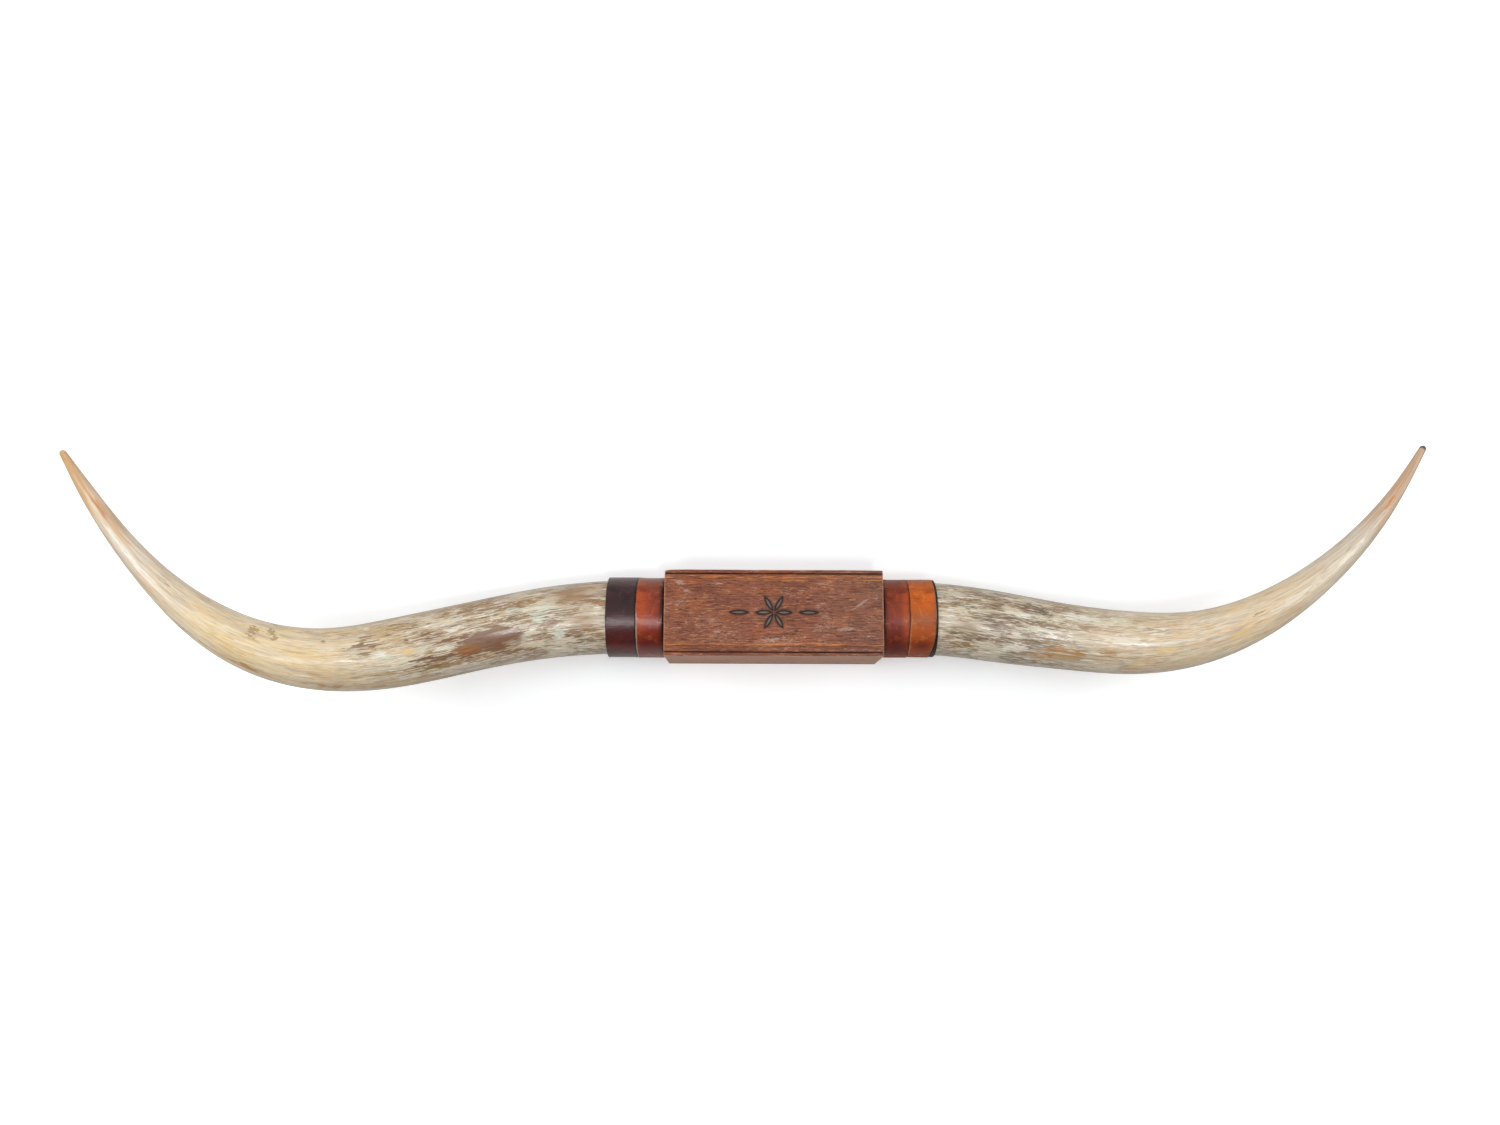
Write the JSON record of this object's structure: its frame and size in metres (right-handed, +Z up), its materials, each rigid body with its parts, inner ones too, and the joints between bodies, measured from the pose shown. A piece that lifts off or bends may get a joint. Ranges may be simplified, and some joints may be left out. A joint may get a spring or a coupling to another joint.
{
  "type": "mounted longhorn horns",
  "caption": "Pair of sweeping cattle horns mounted end to end on a moulded wood block with leather bands round the joints, to hang on a wall.",
  "frame": {"origin": "centre of the wood block's flat back, on the wall", "axes": "+Z up, +Y into the wall along the back's normal, +X along the horns to the viewer's right; the front faces -Y"},
  "size_m": [1.69, 0.2056, 0.3125],
  "materials": {
    "stained_wood": "red-brown stain with worn edges, waxed",
    "polished_horn": "polished keratin with lengthwise tan, grey and brown streaks",
    "red_brown_leather": "red-brown, semi-gloss, creased",
    "dark_brown_leather": "dark brown, semi-gloss",
    "orange_tan_leather": "orange-tan, worn",
    "black_edging": "black, matt"
  },
  "bodies": {
    "root": {"wood_block": "stained_wood", "left_horn": "polished_horn", "right_horn": "polished_horn", "left_inner_band": "red_brown_leather", "left_outer_band": "dark_brown_leather", "right_inner_band": "red_brown_leather", "right_outer_band": "orange_tan_leather", "right_edging": "black_edging"}
  },
  "joints": []
}
